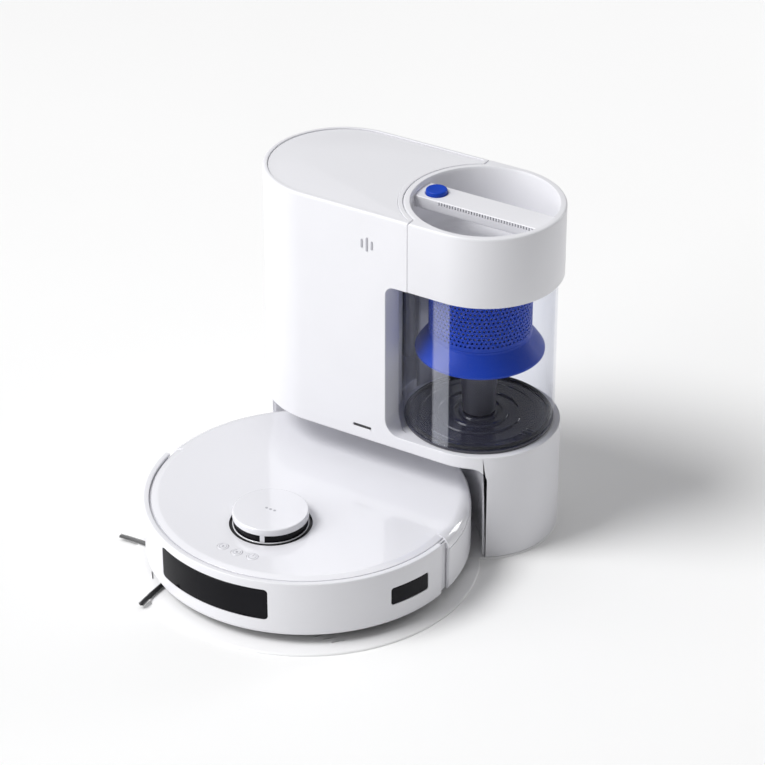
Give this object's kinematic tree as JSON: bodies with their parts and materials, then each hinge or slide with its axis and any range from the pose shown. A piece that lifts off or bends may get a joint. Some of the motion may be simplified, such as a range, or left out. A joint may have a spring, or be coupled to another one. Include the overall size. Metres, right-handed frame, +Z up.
{
  "type": "robot vacuum with self-emptying station",
  "caption": "Round robot vacuum with a laser turret, docked on a tall racetrack-plan self-emptying station with a clear lift-off cyclone dust bin and carry handle.",
  "frame": {"origin": "centre of the station's footprint, on the floor", "axes": "+Z up; the robot drives out of the station along -Y; +X runs along the station to the dust bin's end"},
  "size_m": [0.392, 0.4285, 0.386],
  "materials": {
    "tray": "fine matt grain",
    "shell_white": "satin white moulding",
    "gloss_white": "clear-coated gloss white",
    "liner": "matt",
    "lens": "satin grey",
    "blue": "satin cobalt blue",
    "clear": "clear moulded plastic",
    "smoke": "smoked clear moulded plastic",
    "grey": "satin dark grey",
    "dark": "matt black",
    "black_gloss": "infrared-clear gloss black",
    "rubber": "matt",
    "bristle": "nylon bristle",
    "metal": "plated",
    "board": "lacquered circuit board",
    "filter": "pleated filter paper"
  },
  "bodies": {
    "station": {"dock_tray": "tray", "main_shell": "shell_white", "rear_cover": "shell_white", "exhaust_grille": "liner", "bay_liner": "liner", "top_panel": "shell_white", "indicator_lens": "lens", "badge": "lens", "mains_inlet": "dark", "port_seal": "rubber", "charge_contact_l": "metal", "charge_contact_r": "metal", "suction_duct": "grey", "fan_housing": "dark", "fan_motor": "metal", "exhaust_filter": "filter", "power_board": "board", "foot_pad_l": "rubber", "foot_pad_r": "rubber"},
    "fan_wheel": {"fan_impeller": "grey"},
    "dust_bin": {"bin_cap": "shell_white", "handle_bridge": "shell_white", "bin_cup": "clear", "cyclone_shroud": "blue", "cyclone_skirt": "blue", "cyclone_cone": "grey", "bin_filter": "filter", "bin_seal": "rubber"},
    "bin_button": {"release_button": "blue"},
    "bin_floor": {"bin_flap": "smoke", "flap_seal": "rubber"},
    "robot": {"chassis": "dark", "side_shell": "shell_white", "top_plate": "gloss_white", "lidar_base": "dark", "roller_housing": "dark", "dust_box": "smoke", "battery_pack": "dark", "suction_fan": "dark", "main_board": "board"},
    "outlet_door": {"outlet_flap": "rubber"},
    "robot_bumper": {"bumper": "shell_white", "window_front": "black_gloss", "window_side": "black_gloss"},
    "turret": {"turret_cap": "gloss_white"},
    "lidar": {"lidar_rotor": "black_gloss"},
    "key_l": {"key_left": "gloss_white"},
    "key_m": {"key_middle": "gloss_white"},
    "key_r": {"key_right": "gloss_white"},
    "side_brush": {"brush_hub": "dark", "brush_tufts": "bristle"},
    "brush_roller": {"main_roller": "grey"},
    "arm_l": {"wheel_arm_l": "dark"},
    "arm_r": {"wheel_arm_r": "dark"},
    "wheel_l": {"wheel_hub_l": "grey", "tyre_l": "rubber"},
    "wheel_r": {"wheel_hub_r": "grey", "tyre_r": "rubber"},
    "caster_swivel": {"caster_fork": "dark"},
    "caster_roll": {"caster_wheel": "grey"}
  },
  "joints": [
    {"name": "docking_drive", "type": "slide", "parent": "station", "child": "robot", "axis": [0, -1, 0], "range_m": [0, 0.42]},
    {"name": "fan_spin", "type": "hinge", "parent": "station", "child": "fan_wheel", "pos_m": [-0.095, 0, 0.17], "axis": [0, 0, 1], "continuous": true},
    {"name": "bin_lift", "type": "slide", "parent": "station", "child": "dust_bin", "axis": [0, 0, 1], "range_m": [0, 0.3]},
    {"name": "button_press", "type": "slide", "parent": "dust_bin", "child": "bin_button", "axis": [0, 0, -1], "range_m": [0, 0.003], "stiffness_N_per_m": 400},
    {"name": "bin_floor_hinge", "type": "hinge", "parent": "dust_bin", "child": "bin_floor", "pos_m": [0.1615, 0, 0.13], "axis": [0, -1, 0], "range_deg": [0, 82]},
    {"name": "outlet_door_hinge", "type": "hinge", "parent": "robot", "child": "outlet_door", "pos_m": [-0.036, 0.0118, 0.0575], "axis": [1, 0, 0], "range_deg": [-60, 0], "stiffness_Nm_per_rad": 0.02},
    {"name": "bumper_press", "type": "slide", "parent": "robot", "child": "robot_bumper", "axis": [0, 1, 0], "range_m": [0, 0.002], "stiffness_N_per_m": 900},
    {"name": "turret_press", "type": "slide", "parent": "robot", "child": "turret", "axis": [0, 0, -1], "range_m": [0, 0.0012], "stiffness_N_per_m": 900},
    {"name": "lidar_spin", "type": "hinge", "parent": "robot", "child": "lidar", "pos_m": [-0.036, -0.226, 0.082], "axis": [0, 0, 1], "continuous": true},
    {"name": "key_left_press", "type": "slide", "parent": "robot", "child": "key_l", "axis": [0, 0, -1], "range_m": [0, 0.0005], "stiffness_N_per_m": 600},
    {"name": "key_middle_press", "type": "slide", "parent": "robot", "child": "key_m", "axis": [0, 0, -1], "range_m": [0, 0.0005], "stiffness_N_per_m": 600},
    {"name": "key_right_press", "type": "slide", "parent": "robot", "child": "key_r", "axis": [0, 0, -1], "range_m": [0, 0.0005], "stiffness_N_per_m": 600},
    {"name": "side_brush_spin", "type": "hinge", "parent": "robot", "child": "side_brush", "pos_m": [-0.128, -0.24, 0.01], "axis": [0, 0, 1], "continuous": true},
    {"name": "main_roller_spin", "type": "hinge", "parent": "robot", "child": "brush_roller", "pos_m": [-0.036, -0.183, 0.0244], "axis": [1, 0, 0], "continuous": true},
    {"name": "arm_left_swing", "type": "hinge", "parent": "robot", "child": "arm_l", "pos_m": [-0.141, -0.114, 0.0365], "axis": [-1, 0, 0], "range_deg": [0, 6], "stiffness_Nm_per_rad": 4},
    {"name": "arm_right_swing", "type": "hinge", "parent": "robot", "child": "arm_r", "pos_m": [0.069, -0.114, 0.0365], "axis": [-1, 0, 0], "range_deg": [0, 6], "stiffness_Nm_per_rad": 4},
    {"name": "wheel_left_spin", "type": "hinge", "parent": "arm_l", "child": "wheel_l", "pos_m": [-0.141, -0.155, 0.0365], "axis": [1, 0, 0], "continuous": true},
    {"name": "wheel_right_spin", "type": "hinge", "parent": "arm_r", "child": "wheel_r", "pos_m": [0.069, -0.155, 0.0365], "axis": [1, 0, 0], "continuous": true},
    {"name": "caster_swivel_turn", "type": "hinge", "parent": "robot", "child": "caster_swivel", "pos_m": [-0.036, -0.287, 0.0355], "axis": [0, 0, 1], "continuous": true},
    {"name": "caster_roll_spin", "type": "hinge", "parent": "caster_swivel", "child": "caster_roll", "pos_m": [-0.036, -0.28, 0.0155], "axis": [1, 0, 0], "continuous": true}
  ],
  "couplings": [
    {"joint": "bin_floor_hinge", "follows": "bin_lift", "rad_per_m": 4.7},
    {"joint": "wheel_left_spin", "follows": "docking_drive", "rad_per_m": 30.303},
    {"joint": "wheel_right_spin", "follows": "docking_drive", "rad_per_m": 30.303}
  ]
}
